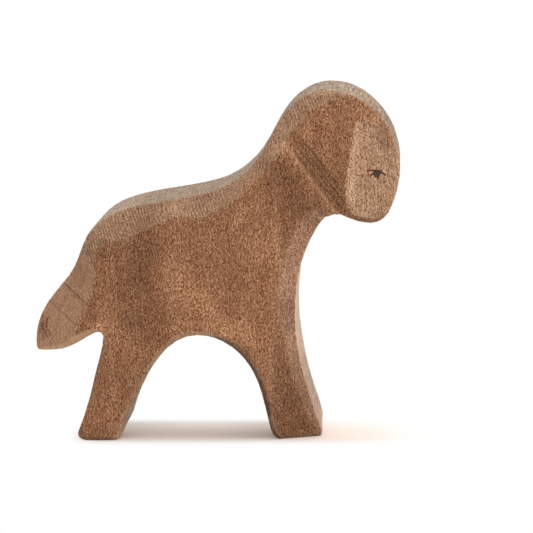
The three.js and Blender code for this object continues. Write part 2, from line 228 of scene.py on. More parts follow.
# Places where the board took the stain paler or darker, and places of painted shade where noted, in the
# plane of the flank: the middle, half the length, half the width, the slant in degrees, how softly it fades,
# and its strength
PALE_OFF_CHEST = {
    "over_arch": ((-2.1, 22.2), 7.2, 2.3, -62, 0.5, 0.95),
    "by_arch": ((4.4, 19.2), 7.0, 2.2, -14, 0.5, 0.6),
    "arch_crown": ((-4.4, 20.0), 3.6, 1.5, 12, 0.5, 0.6),
    "arch_top": ((0.2, 18.9), 4.6, 2.2, 0, 0.5, 0.9),
    "tail_notch": ((-20.0, 20.2), 1.1, 0.8, 0, 0.5, 0.9),
    "haunch": ((-15.5, 20.5), 4.0, 3.2, 90, 0.5, 0.25),
    "croup": ((-16.4, 38.3), 4.5, 2.2, 20, 0.5, 0.4),
    "saddle": ((-4.2, 39.9), 4.5, 1.6, 0, 0.5, 0.4),
    "breast": ((8.9, 27.2), 10.6, 4.4, 90, 0.4, 0.62),
    "breast_foot": ((11.4, 21.2), 3.6, 1.1, 90, 0.5, 0.7),
    "cheek_corner": ((15.6, 53.2), 1.9, 1.3, 0, 0.6, 0.4),
    "brow": ((26.6, 53.6), 2.4, 1.3, 75, 0.6, 0.5),
}
PALE_ON_ALL = {
    "collar_end": ((13.5, 50.2), 2.2, 1.8, -53, 0.5, 0.8),
    "throat": ((17.8, 39.0), 1.3, 0.55, -35, 0.4, 0.9),
    "neck_root": ((6.2, 39.4), 3.0, 1.6, 35, 0.6, 0.45),
    "nape_foot": ((7.8, 45.3), 2.0, 0.9, 45, 0.6, 0.5),
    "heel_foot": ((-22.4, 3.2), 2.4, 1.2, 85, 0.5, 0.5),
}
PALE_OFF_RIM = ((12.7, 16.6), 2.4, 1.0, 96, 0.5, 0.6)
PALE_ON_BEVEL = ((12.6, 53.6), 5.5, 2.0, 52, 0.5, 0.4)
PALE_TINT = (1.42, 1.5, 1.55, 1)
DARK_STAIN_AND_SHADE_PLACES = {
    "neck": ((13.4, 43.4), 6.2, 2.3, -52, 0.6, 1.0),
    "foot": ((14.2, 4.5), 9.0, 4.2, 80, 0.5, 0.8),
    # Painted shadow along the brow, where it steps down into the sunk face
    "brow": ((28.2, 54.6), 3.6, 0.9, -50, 0.6, 0.4),
    "saddle": ((-2.5, 34.0), 10.5, 3.2, 0, 0.5, 0.2),
    "heel": ((-20.2, 15.0), 4.0, 1.2, 85, 0.5, 0.35),
    "cheek_mark": ((19.0, 53.7), 1.4, 0.3, -40, 0.5, 1.0),
    "crown_mark": ((20.3, 57.9), 1.0, 0.5, -30, 0.5, 1.0),
    "crown_shade": ((20.3, 55.8), 1.6, 1.1, -20, 0.6, 0.5),
    # Painted shade under the jaw
    "jaw_shade": ((27.4, 38.3), 4.0, 0.8, 8, 0.6, 0.7),
    "tail_tip": ((-29.9, 19.2), 1.8, 0.7, 90, 0.12, 0.85),
    "tail_root": ((-23.2, 29.3), 2.6, 1.6, 70, 0.6, 0.6),
    # Painted shade on the flank below the rump's bevel
    "hip": ((-17.0, 34.2), 4.0, 1.3, 25, 0.6, 0.7),
    # Painted shade along the edges of the arch and of the legs, which face away from the light
    "arch_shade": ((5.0, 16.2), 2.8, 0.8, -50, 0.5, 0.6),
    "rear_leg_edge_shade": ((-14.6, 7.2), 8.0, 0.6, 70, 0.5, 0.6),
    "front_leg_edge_shade": ((8.7, 3.4), 2.6, 0.8, 88, 0.5, 0.6),
    "nape_edge": ((12.0, 55.0), 4.8, 1.1, 56, 0.5, 0.4),
}
DARK_SHARE = 0.6
FAINT_PLACES = {
    "band_top": ((-11.8, 33.4), 4.5, 2.2, 80, 0.6, 0.26),
    "belly": ((-4.3, 28.0), 2.4, 1.1, 90, 0.6, 0.13),
    "flank": ((6.0, 35.8), 4.0, 2.6, 70, 0.6, 0.065),
}
# The dark streak up the flank: the fading pairs of its sides and its ends
STREAK_LEFT = (-18.8, -14.4)
STREAK_RIGHT = (-9.9, -11.5)
STREAK_FOOT = (14.5, 22.5)
STREAK_HEAD = (40, 32)
# Painted shade along the foot of the soles, fading over this pair of heights
SOLE_EDGE = (1.0, 0.15)

# Noise in the wood and the paint: the width of its marks across the fibres and their length along
# them, in millimetres, then how many finer layers it has and how strong each of them is
CLOUDS = (9, 16, 3.0, 0.55)
BANDS = (2.4, 45, 2.0, 0.5)
RING_WANDER = (5, 25, 2.0, 0.5)
RING_FADE = (7, 7, 1.0, 0.5)
TICK_BREAKS = (1.1, 1.1, 2.0, 0.5)
STAIN_BREAKS = (2.2, 4.5, 3.0, 0.5)
COLLAR_STREAKS = (0.3, 9, 2.0, 0.6)
PORES = (0.148, 0.37, 1.0, 0.5)
RAYS = (0.14, 0.35, 1.0, 0.5)
MOTTLE = (0.7, 1.1, 2.0, 0.5)
ROW_JITTER = (1.6, 0.75, 1.0, 0.5)
WEAR_BREAKS = (0.9, 1.6, 3.0, 0.5)
BRUSH = (0.18, 0.5, 3.0, 0.5)
SAWN_GRAIN = (0.3, 4.5, 0.55)  # along the flank, through the board and up
SAWN_GRAIN_LAYERS = (2.0, 0.6)

# How far up, in millimetres, the crown's grain and its short ticks come in
CROWN_LEVEL = (44, 52)
TICK_LEVEL = (55.5, 57.5)

# The values of the noise, or of the lines for the ticks, between which each of these comes in
TICK_EDGE = (0.5, 0.15)
CLOUD_EDGE = (0.36, 0.64)
BAND_EDGE = (0.68, 0.35)
RING_FADE_EDGE = (0.4, 0.62)
TICK_BREAK_EDGE = (0.38, 0.62)
STAIN_BREAK_EDGE = (0.35, 0.65)
GRAIN_PALE_EDGE = (0.5, 0.64)
GRAIN_DARK_EDGE = (0.48, 0.36)
STREAK_DARK_EDGE = (0.48, 0.58)
STREAK_PALE_EDGE = (0.5, 0.4)
FLECK_EDGE = (0.485, 0.6)
MOTTLE_EDGE = (0.42, 0.66)
WEAR_EDGE = (0.3, 0.62)
PORE_PIT_EDGE = (0.5, 0.75)
BRUSH_EDGE = (0.35, 0.7)

# How strongly each of these covers the stain
LEG_FACET_SHARE = 0.8
RING_SHARE = 0.05
END_GRAIN_RING_SHARE = 0.42  # what end grain adds to that share
HATCH_SHARE = 0.8
TICK_SHARE = 0.24
TAIL_RING_SHARE = 0.26
SAWN_GRAIN_SHARE = 0.5
CROWN_GRAIN_SHARE = 0.45  # what the crown adds to that share
STREAK_DARK_SHARE = 0.6
STREAK_PALE_SHARE = 0.62
WORN_SHARE = 0.4
WORN_UNDER_SHARE = 0.55
HOLLOW_SHARE = 0.25

# Tints: factors on the stain's red, green and blue
GRAIN_PALE = (1.45, 1.45, 1.4, 1)
GRAIN_DARK = (0.6, 0.56, 0.5, 1)
RAY_TINT = (1.8, 2.15, 2.6, 1)
PORE_TINT = (0.45, 0.26, 0.1, 1)
MOTTLE_TINT = (0.84, 0.82, 0.8, 1)

# The flecks stand in rows, and are weaker on the cuts. A pair of numbers is a factor on the row's
# own strength and what is added to it
ROW_SPACING = 0.64
JITTER = 1.4
PORE_ROWS = (1.1, 0.55)
RAY_ROWS = (-0.9, 1.35)
FLECK_LOSSES = [("end_grain", 0.4), ("front_rim", 0.5), ("bevel", 0.38), ("tail", 0.3)]
PORE_LOSS_ON_FACE = 0.2
RAY_LOSS_ON_FACE = 0.35

# The surface: how rough it is, and the parts of its relief
SPECULAR = 0.2
ROUGHNESS = 0.46
PORE_ROUGHNESS = 0.24
WORN_SMOOTHER = 0.08
RAY_HEIGHT = 0.6
RING_DEPTH = 1.2
PAINT_ROUGHNESS = 0.45
BRUSH_ROUGHNESS = 0.3

# The eyes, as strokes in the plane of the flank: each is a run of (along, up, half width)
LASH = [
    (26.08, 46.42, 0.15), (26.3, 46.47, 0.11), (26.7, 46.48, 0.11), (27.1, 46.46, 0.13), (27.6, 46.43, 0.15),
    (28.1, 46.28, 0.16), (28.55, 46.0, 0.15), (28.85, 45.76, 0.13), (29.03, 45.62, 0.13),
]
PUPIL = [(27.46, 45.98, 0.38), (27.82, 45.98, 0.38), (27.78, 45.64, 0.34), (27.5, 45.64, 0.34)]
SHORT_LASHES = [
    [(27.2, 46.1, 0.14), (26.85, 45.8, 0.12), (26.52, 45.5, 0.1)],
    [(27.86, 45.4, 0.13), (27.87, 45.04, 0.12)],
]
STROKES = [LASH, PUPIL, *SHORT_LASHES]
PAINT_CELL = 0.05
PAINT_MARGIN = 0.6
PAINT_REACH = 0.8  # shares of a cell: how near the edge a point is drawn onto it
PAINT_OVERLAP = 0.2  # and how far outside the edge a point still counts as painted
PAINT_ROUNDS = 2
LEAST_SLOPE = 0.2
CAST_FROM = 30  # millimetres from the middle of the board
PAINT_LIFT = 0.018
PAINT_GAP = 0.004
PAINT_EDGE = 0.06
THIN_PAINT = (0.08, 0.24)
PAINT_DEEP = (50, 45, 38)
PAINT_PALE = (74, 67, 57)
PAINT_THIN = (74, 42, 18)

# The floor: its size in metres, its tones, and where its shadow starts to fade and has gone
FLOOR_HALF = 3.0
FLOOR_TONE = (0.7, 0.695, 0.69, 1)
FLOOR_IN_SHADOW = (0.91, 0.79, 0.73, 1)
BOUNCE = (1.0, 0.88, 0.76, 1)  # light that the wood throws into its own shadow
BOUNCE_EDGE = (0.2, 0.8)
WHITE = (1, 1, 1, 1)
SHADOW_LEFT = (-20.5, -27.0)
SHADOW_RIGHT = (18.0, 42.0)
SHADOW_FRONT = (-6.2, -12.2)
SHADOW_BACK = (1.0, 5.5)
SHADOW_DEPTH = (-6.5, 1.5)
BACK_LIFT = 0.45  # the shadow pales this much from its front to its back
BASE_LIFT = 0.06  # the table's own glow keeps the shadow this pale

# The light: where each lamp stands and its side, in metres, and its power
TENT_STRENGTH = 1.2
LAMP_TARGET = (0, 0, 0.03)
LAMPS = {
    "overhead_softbox": ((-0.02, 0.16, 0.62), 0.34, 1.9),
    "right_card": ((0.62, -0.06, 0.2), 0.4, 2.4),
}

# The camera, in millimetres and degrees
IMAGE_SIDE = 533
PIXELS_PER_MM = 5.775
CAMERA_DISTANCE = 343.156
CAMERA_AZIMUTH = 4.237
CAMERA_ELEVATION = 11.727
CAMERA_ROLL = -1.263
CAMERA_TARGET = (8.26, 0.0, 28.708)
SENSOR = 36.0
CLIP = (0.01, 20)


def positions_of(mesh):
    flat = np.zeros(3 * len(mesh.vertices), np.float64)
    mesh.vertices.foreach_get("co", flat)
    return flat.reshape(-1, 3)


def set_positions(mesh, points):
    mesh.vertices.foreach_set("co", points.astype(np.float32).ravel())
    mesh.update()


def normals_of(mesh):
    flat = np.zeros(3 * len(mesh.vertices), np.float32)
    mesh.vertex_normals.foreach_get("vector", flat)
    return flat.reshape(-1, 3).astype(np.float64)


def edges_of(mesh):
    flat = np.zeros(2 * len(mesh.edges), np.int32)
    mesh.edges.foreach_get("vertices", flat)
    return flat.reshape(-1, 2)


def spread(edges, values, rounds, share=1.0):
    """Each vertex's values drawn towards the mean of its neighbours', for a number of rounds."""
    count = len(values)
    a, b = edges[:, 0], edges[:, 1]
    degree = np.bincount(a, minlength=count) + np.bincount(b, minlength=count)
    for _ in range(rounds):
        columns = [
            np.bincount(a, values[b, axis], count) + np.bincount(b, values[a, axis], count)
            for axis in range(values.shape[1])
        ]
        values = values + share * (np.stack(columns, axis=1) / degree[:, None] - values)
    return values


def after(value, edge):
    """0 before an edge and 1 after it, with a smooth change over the edge's pair of values."""
    low, high = edge
    share = np.clip((value - low) / (high - low), 0, 1)
    return share * share * (3 - 2 * share)


def before(value, edge):
    return 1 - after(value, edge)


def bump_at(value, centre, width):
    """1 at a centre, falling away on both sides over a width."""
    return np.exp(-(((value - centre) / width) ** 2))


def keep(mesh, name, values):
    attribute = mesh.attributes.new(name, "FLOAT", "POINT")
    attribute.data.foreach_set("value", values.astype(np.float32))


def inside_by(spots, border):
    """How far each (along, up) spot lies inside a closed border, less than 0 outside it."""
    nearest = np.full(len(spots), FAR)
    inside = np.zeros(len(spots), bool)
    for (ax, az), (bx, bz) in zip(border, border[1:] + border[:1]):
        run = np.array([bx - ax, bz - az])
        away = spots - np.array([ax, az])
        share = np.clip(away @ run / (run @ run), 0, 1)
        nearest = np.minimum(nearest, np.linalg.norm(away - share[:, None] * run, axis=1))
        spans = (az > spots[:, 1]) != (bz > spots[:, 1])
        if bz != az:
            crossing = ax + (spots[:, 1] - az) * (bx - ax) / (bz - az)
            inside ^= spans & (spots[:, 0] < crossing)
    return np.where(inside, nearest, -nearest)


def along_collar(spots):
    """How far each spot lies up from the band's lower line and along it, and the line's length."""
    top, foot = np.array(COLLAR_TOP), np.array(COLLAR_FOOT)
    length = np.linalg.norm(foot - top)
    run = (foot - top) / length
    across = np.array([-run[1], run[0]])
    return (spots - top) @ across, (spots - top) @ run, length


def collar_tilt():
    """How far the band leans from upright towards the nose, in radians."""
    return math.atan2(COLLAR_FOOT[0] - COLLAR_TOP[0], COLLAR_FOOT[1] - COLLAR_TOP[1])


def remeshed_copy(node, name):
    """The CAD solid as one even mesh on its surface, and which way the solid faces at each vertex."""
    body = bpy.data.objects.new(name, node.data.copy())
    bpy.context.scene.collection.objects.link(body)
    remesh = body.modifiers.new("remesh", "REMESH")
    remesh.mode = "VOXEL"
    remesh.voxel_size = VOXEL * MM
    evaluated = body.evaluated_get(bpy.context.evaluated_depsgraph_get())
    mesh = bpy.data.meshes.new_from_object(evaluated)
    body.modifiers.clear()
    body.data = mesh
    solid = BVHTree.FromObject(node, bpy.context.evaluated_depsgraph_get())
    facing = np.zeros((len(mesh.vertices), 3))
    for vertex in mesh.vertices:
        place, normal, _, _ = solid.find_nearest(vertex.co)
        vertex.co = place
        facing[vertex.index] = normal
    mesh.materials.clear()
    mesh.shade_smooth()
    return body, facing


def tool_marks(points, carved):
    """How far the knife, the chatter of the blade and the fibres lift the wood, in metres."""
    lift = np.zeros(len(points))
    for i, (x, y, z) in enumerate(points / MM):
        waves = noise.noise(Vector((x, y, z)) / TOOL_WAVE) * (WAVES_ON_FLAT + WAVES_ON_CUT * carved[i])
        chatter = noise.noise(Vector((x, y, z + CHATTER_SHIFT)) / CHATTER_WAVE) * carved[i]
        fibre = noise.noise(Vector((x / FIBRE_WIDTH, y / FIBRE_WIDTH, z / FIBRE_LENGTH)))
        lift[i] = TOOL_DEPTH * waves + CHATTER_DEPTH * chatter + FIBRE_DEPTH * fibre
    return lift * MM


def skew_toe(points):
    """Brings the front foot's toe forward, more on the right flank than on the left."""
    front = after(points[:, 0] / MM, TOE_START) * before(points[:, 2] / MM, (0, TOE_HEIGHT))
    points[:, 0] += front * (TOE_FORWARD * MM - TOE_SKEW * points[:, 1] / SKEW_AT)
    return points


class Skin:
    """The carved skin of the lamb: its shape, and the masks that the stain and its painted light and shade
    read.
    """

    def __init__(self, mesh, facing):
        self.mesh = mesh
        self.edges = edges_of(mesh)
        self.square_on = np.abs(facing[:, 1])
        self.forward = facing[:, 0]
        self.upward = facing[:, 2]
        self.carve()
        self.x, self.z = self.points[:, 0] / MM, self.points[:, 2] / MM
        self.spots = np.stack([self.x, self.z], axis=1)
        self.on_side = np.abs(self.points[:, 1]) > NEAR_MIDDLE * MM
        self.in_face = inside_by(self.spots, FACE_BORDER)
        self.up_collar, self.down_collar, self.collar_length = along_collar(self.spots)
        across = (self.up_collar > COLLAR_BELOW) & (self.up_collar < COLLAR_ABOVE)
        along = (self.down_collar > 0) & (self.down_collar < self.collar_length)
        self.in_collar = across & along & self.on_side
        self.rim = before(self.square_on, SAWN_BAND_END) * ~self.in_collar

    def softened(self, values, rounds):
        return spread(self.edges, values[:, None], rounds)[:, 0]

    def keep(self, name, values):
        keep(self.mesh, name, values)

    def carve(self):
        """Softens the arrises, raises the skin and adds the tool marks."""
        points = spread(self.edges, positions_of(self.mesh), SOFTENING_ROUNDS, SOFTENING_SHARE)
        set_positions(self.mesh, points)
        normals = spread(self.edges, normals_of(self.mesh), NORMAL_ROUNDS)
        self.normals = normals / np.linalg.norm(normals, axis=1)[:, None]
        lift = SKIN * MM + tool_marks(points, before(self.square_on, CARVED_END))
        points = points + lift[:, None] * self.normals
        points[:, 2] = np.maximum(points[:, 2], 0.0)
        self.points = skew_toe(points)
        set_positions(self.mesh, self.points)

    def keep_wear(self):
        """Arrises that stand out are worn, and hollows are darker."""
        calm = spread(self.edges, self.points, WEAR_ROUNDS)
        stands_out = np.sum((self.points - calm) * self.normals, axis=1) / (FULL_WEAR * MM)
        stands_out = self.softened(stands_out, rounds=2)
        self.keep("hollow", np.clip(-stands_out, 0, 1))
        ridge = bump_at(self.up_collar, 0, RIDGE_WIDTH) * after(self.down_collar, RIDGE_HEAD)
        ridge = ridge * (self.down_collar < self.collar_length)
        by_rim = after(self.softened(self.rim, BY_RIM_ROUNDS), BY_RIM) * (self.upward > LEAST_UPWARD)
        spared = (1 - RIDGE_SPARED * ridge) * (1 - RIM_SPARED * by_rim)
        self.keep("wear", after(stands_out, WORN) * spared)

    def keep_sawn_band(self):
        """The sawn band, and its stretches that face forward, up across the fibres, or neither."""
        low = before(self.z, THROAT_LEVEL)
        self.keep("rim", self.rim)
        self.keep("front_rim", self.rim * after(self.forward, FACES_CHEST) * low)
        self.keep("brow_rim", self.rim * after(self.forward, FACES_BROW) * (1 - low))
        self.keep("end_grain", self.rim * after(self.upward, END_GRAIN_FACING))
        self.keep("upright_rim", self.rim * before(self.upward, SIDE_GRAIN_FACING))

    def keep_leg_cuts(self):
        """The facet on the front leg, the edge of the arch that is painted in shade, and the worn edge under
        the tail.
        """
        leg = after(self.square_on, KNIFE_CUT_END) * before(self.square_on, LEG_FACET_END)
        leg = leg * after(self.x, LEG_FACET_FOOT) * before(self.z, LEG_FACET_TOP)
        self.keep("leg_facet", self.softened(leg, rounds=4))
        under = before(self.square_on, ARCH_BREAK_END) * before(self.forward, FACES_BACK)
        under = under * after(self.x, ARCH_MIDDLE) * before(self.z, ARCH_TOP)
        self.keep("arch_edge", np.clip(ARCH_EDGE_GAIN * self.softened(under, rounds=2), 0, 1))
        worn = before(self.upward, UNDERSIDE_FACING) * after(self.z, UNDER_TAIL) * before(self.x, TAIL_FRONT)
        self.keep("worn_under", self.softened(worn, rounds=1))

    def keep_long_cuts(self):
        """The cuts down the nape and back, on the tail, and down the chest."""
        cut = before(self.square_on, KNIFE_CUT_END) * (1 - self.rim)
        cut = cut * (self.in_face < -BROW_WIDTH) * ~self.in_collar
        above_heel = after(self.z - HEEL_SLOPE * (self.x - HEEL_PLACE), HEEL_TOP)
        cut = cut * (1 - before(self.x, HEEL_FRONT) * (1 - above_heel))
        nape = after(inside_by(self.spots, NAPE_CUT), (-NAPE_EDGE, NAPE_EDGE)) * (1 - self.rim)
        beside_nape = after(self.z, NAPE_LEVEL) * before(self.x, NAPE_FRONT)
        cut = cut * (1 - beside_nape) + nape * beside_nape
        tail = cut * before(self.x + TAIL_LEAN * (self.z - TAIL_LEVEL), TAIL_FRONT) * before(self.z, TAIL_TOP)
        tail = after(self.softened(tail, TAIL_ROUNDS), TAIL_SHARE) * cut
        chest = cut * after(self.x, CHEST_BACK) * before(self.z, CHEST_TOP)
        self.keep("chest", self.softened(chest, rounds=3))
        self.keep("bevel", self.softened(cut - chest, rounds=1))
        self.keep("tail", self.softened(tail, rounds=3))

    def keep_face(self):
        """The sunk face, and the pale hollow along the step behind it, pale partly from wear and partly as a
        painted highlight where it faces the light from the right.
        """
        on_cheek = (1 - self.rim) * self.on_side
        self.keep("face", after(self.in_face, (-FACE_EDGE, FACE_EDGE)) * on_cheek)
        fall = COVE_DIP * after(self.in_face, COVE_SHOULDER) + (1 - COVE_DIP) * after(self.in_face, COVE_END)
        behind = before(self.x + COVE_LEAN * (self.z - COVE_LEVEL), COVE_FRONT)
        self.keep("cove", after(self.in_face, COVE_START) * (1 - fall) * behind * on_cheek)

    def keep_collar(self):
        """Painted shade on the slope of the collar's cut and the thin line that ends it."""
        slope = after(self.up_collar, COLLAR_SLOPE) * before(self.up_collar, COLLAR_SLOPE_END)
        line = bump_at(self.up_collar, COLLAR_EDGE, COLLAR_LINE)
        to_foot = self.down_collar - self.collar_length
        window = after(self.down_collar, COLLAR_HEAD) * before(to_foot, COLLAR_TAIL)
        window = window * self.on_side * before(self.in_face, BESIDE_FACE)
        self.keep("collar", (COLLAR_SLOPE_SHARE * slope + COLLAR_LINE_SHARE * line) * window)
        cut = after(self.up_collar, COLLAR_CUT) * before(self.up_collar, COLLAR_CUT_END)
        self.keep("collar_cut", cut * window)

    def keep_all(self):
        self.keep_wear()
        self.keep_sawn_band()
        self.keep_leg_cuts()
        self.keep_long_cuts()
        self.keep_face()
        self.keep_collar()


def linear(colour):
    """A colour as it shows on a screen, from 0 to 255, as the scene-linear colour that shaders take."""
    shares = [value / 255 for value in colour]
    return tuple(s / 12.92 if s <= 0.04045 else ((s + 0.055) / 1.055) ** 2.4 for s in shares) + (1.0,)


def per_mm(across, along):
    """Noise scales for marks of a width across the fibres and a length along them, in millimetres."""
    return (1 / (across * MM), 1 / (across * MM), 1 / (along * MM))


class Nodes:
    """Short calls for building a node tree."""

    def __init__(self, tree):
        self.tree = tree
        self.tree.nodes.clear()
        self.attributes = {}

    def add(self, kind, **settings):
        node = self.tree.nodes.new(kind)
        for key, value in settings.items():
            setattr(node, key, value)
        return node

    def feed(self, socket, value):
        if isinstance(value, bpy.types.NodeSocket):
            self.tree.links.new(value, socket)
        else:
            socket.default_value = value

    def math(self, operation, *values, clamp=False):
        node = self.add("ShaderNodeMath", operation=operation, use_clamp=clamp)
        for socket, value in zip(node.inputs, values):
            self.feed(socket, value)
        return node.outputs[0]

    def times(self, *values):
        return functools.reduce(lambda first, second: self.math("MULTIPLY", first, second), values)

    def plus(self, *values):
        return functools.reduce(lambda first, second: self.math("ADD", first, second), values)

    def largest(self, *values):
        return functools.reduce(lambda first, second: self.math("MAXIMUM", first, second), values)

    def scaled(self, value, factor, shift, clamp=False):
        return self.math("MULTIPLY_ADD", value, factor, shift, clamp=clamp)

    def rest_of(self, value):
        return self.math("SUBTRACT", 1.0, value)

    def mix(self, share, first, second, blend="MIX"):
        node = self.add("ShaderNodeMix", data_type="RGBA", blend_type=blend)
        for socket, value in zip((node.inputs[0], node.inputs[6], node.inputs[7]), (share, first, second)):
            self.feed(socket, value)
        return node.outputs[2]

    def tint(self, share, colour, factors):
        return self.mix(share, colour, factors, "MULTIPLY")

    def step(self, value, low, high):
        """0 at low and 1 at high, with a smooth change between them."""
        node = self.add("ShaderNodeMapRange", interpolation_type="SMOOTHSTEP")
        for socket, number in zip(node.inputs, (value, low, high)):
            self.feed(socket, number)
        return node.outputs[0]

    def step_mm(self, value, edge):
        return self.step(value, edge[0] * MM, edge[1] * MM)

    def noise(self, source, scales, layers, rough):
        stretched = self.add("ShaderNodeVectorMath", operation="MULTIPLY")
        self.feed(stretched.inputs[0], source)
        stretched.inputs[1].default_value = scales
        node = self.add("ShaderNodeTexNoise")
        self.feed(node.inputs["Vector"], stretched.outputs[0])
        node.inputs["Scale"].default_value = 1.0
        node.inputs["Detail"].default_value = layers
        node.inputs["Roughness"].default_value = rough
        return node.outputs[0]

    def attribute(self, name):
        if name not in self.attributes:
            self.attributes[name] = self.add("ShaderNodeAttribute", attribute_name=name).outputs["Fac"]
        return self.attributes[name]

    def background_rays(self):
        """1 for a ray that shows the background as it looks, and 0 for one that only carries light."""
        paths = self.add("ShaderNodeLightPath").outputs
        return self.largest(paths["Is Camera Ray"], paths["Is Glossy Ray"], paths["Is Transmission Ray"])


class MaterialNodes(Nodes):
    """The node tree of a new material, with the place on the object at hand."""

    def __init__(self, name):
        self.material = bpy.data.materials.new(name)
        self.material.use_nodes = True
        super().__init__(self.material.node_tree)
        self.where = self.add("ShaderNodeTexCoord").outputs["Object"]
        split = self.add("ShaderNodeSeparateXYZ")
        self.feed(split.inputs[0], self.where)
        self.x, self.y, self.z = split.outputs

    def marks(self, mark, where=None):
        """Noise of a mark's size, read at the place on the object or at another."""
        across, along, layers, rough = mark
        return self.noise(self.where if where is None else where, per_mm(across, along), layers, rough)

    def turned(self, tilt):
        """The place with its plane of the flank turned, so that z runs at a tilt in radians from upright."""
        across = self.scaled(self.z, -math.sin(tilt), self.times(self.x, math.cos(tilt)))
        along = self.scaled(self.z, math.cos(tilt), self.times(self.x, math.sin(tilt)))
        joined = self.add("ShaderNodeCombineXYZ")
        for socket, value in zip(joined.inputs, (across, self.y, along)):
            self.feed(socket, value)
        return joined.outputs[0]

    def patch(self, centre, half_length, half_width, slant, edge, strength):
        """The strength inside an oval patch of the flank, and 0 outside it."""
        turn = math.radians(slant)
        x = self.math("SUBTRACT", self.x, centre[0] * MM)
        z = self.math("SUBTRACT", self.z, centre[1] * MM)
        rows = ((math.cos(turn), math.sin(turn), half_length), (-math.sin(turn), math.cos(turn), half_width))
        squares = []
        for from_x, from_z, half in rows:
            share = self.scaled(z, from_z / (half * MM), self.times(x, from_x / (half * MM)))
            squares.append(self.times(share, share))
        inside = self.step(self.math("SQRT", self.plus(*squares)), 1 + edge, 1 - edge)
        return self.times(inside, strength)

    def strongest(self, patches):
        return self.largest(*(self.patch(*patch) for patch in patches.values()))

    def ring_lines(self, distance, spacing):
        """Thin lines at an even spacing in millimetres along a distance."""
        phase = self.times(distance, 2 * math.pi / (spacing * MM))
        return self.math("POWER", self.scaled(self.math("SINE", phase), 0.5, 0.5), 2.0)

    def matt(self, colour, roughness, height, strength, depth):
        """A matt surface whose bump is a depth in millimetres."""
        bump = self.add("ShaderNodeBump")
        bump.inputs["Strength"].default_value = strength
        bump.inputs["Distance"].default_value = depth * MM
        self.feed(bump.inputs["Height"], height)
        shader = self.add("ShaderNodeBsdfPrincipled")
        self.feed(shader.inputs["Base Color"], colour)
        self.feed(shader.inputs["Roughness"], roughness)
        self.feed(shader.inputs["Normal"], bump.outputs[0])
        shader.inputs["Specular IOR Level"].default_value = SPECULAR
        return shader.outputs[0]

    def finished(self, shader):
        self.feed(self.add("ShaderNodeOutputMaterial").inputs[0], shader)
        return self.material


def stain(nodes):
    """The stain, from the flat flank to the knife cuts, with painted light and shade on some of the cuts."""
    clouds = nodes.marks(CLOUDS)
    bands = nodes.marks(BANDS)
    colour = nodes.mix(nodes.step(clouds, *CLOUD_EDGE), linear(FLANK_DEEP), linear(FLANK_THIN))
    colour = nodes.tint(nodes.step(bands, *BAND_EDGE), colour, linear(BAND_TINT))
    leg_facet = nodes.times(nodes.attribute("leg_facet"), LEG_FACET_SHARE)
    colour = nodes.mix(leg_facet, colour, linear(LEG_FACET_TONE))
    bevel_tone = nodes.mix(clouds, linear(BEVEL_DEEP), linear(BEVEL_THIN))
    colour = nodes.mix(nodes.attribute("bevel"), colour, bevel_tone)
    chest_tone = nodes.mix(nodes.step_mm(nodes.z, CHEST_CHANGE), linear(CHEST_UPPER), linear(CHEST_LOWER))
    colour = nodes.mix(nodes.attribute("chest"), colour, chest_tone)
    for mask, strength, tone in CUT_STAIN_AND_PAINTED_LIGHT:
        colour = nodes.mix(nodes.times(nodes.attribute(mask), strength), colour, linear(tone))
    return colour


def tail_lines(nodes, wander):
    """Even faint lines across the tail, and a few clear ones."""
    along, up = TAIL_GRAIN
    across = nodes.scaled(nodes.z, up, nodes.times(nodes.x, along))
    across = nodes.scaled(wander, TAIL_WANDER, across)
    lines = [nodes.times(nodes.ring_lines(across, TAIL_RING_SPACING), TAIL_RING_SHARE)]
    for at, strength in TAIL_LINES:
        off = nodes.math("ABSOLUTE", nodes.math("SUBTRACT", across, at * MM))
        lines.append(nodes.times(nodes.step_mm(off, TAIL_LINE_EDGE), strength))
    return nodes.times(nodes.largest(*lines), nodes.attribute("tail"))


def growth_rings(nodes, colour, wander):
    """Rings, clear where the cut crosses the fibres; also gives the share of those on the sawn band."""
    faint = nodes.step(nodes.marks(RING_FADE), *RING_FADE_EDGE)
    across_rim = nodes.plus(nodes.scaled(nodes.y, RIM_RING_LEAN, nodes.x), wander)
    across_bevel = nodes.plus(nodes.scaled(nodes.z, BEVEL_RING_LEAN, nodes.x), wander)
    ring = nodes.ring_lines(across_rim, RIM_RING_SPACING)
    hatch = nodes.ring_lines(across_bevel, BEVEL_RING_SPACING)
    ring_strength = nodes.scaled(nodes.attribute("end_grain"), END_GRAIN_RING_SHARE, RING_SHARE)
    ring_share = nodes.times(ring, ring_strength)
    off_tail = nodes.times(nodes.attribute("bevel"), nodes.rest_of(nodes.attribute("tail")))
    hatch_share = nodes.times(hatch, faint, off_tail, HATCH_SHARE)
    broken = nodes.step(nodes.marks(TICK_BREAKS), *TICK_BREAK_EDGE)
    crown = nodes.times(off_tail, nodes.step_mm(nodes.z, TICK_LEVEL), broken)
    ticks = nodes.times(nodes.step(hatch, *TICK_EDGE), crown, TICK_SHARE)
    colour = nodes.mix(ticks, colour, linear(TICK_STAIN))
    colour = nodes.mix(ring_share, colour, linear(RING_STAIN))
    colour = nodes.mix(hatch_share, colour, linear(RING_STAIN))
    colour = nodes.mix(tail_lines(nodes, wander), colour, linear(TAIL_LINE_STAIN))
    return colour, ring_share


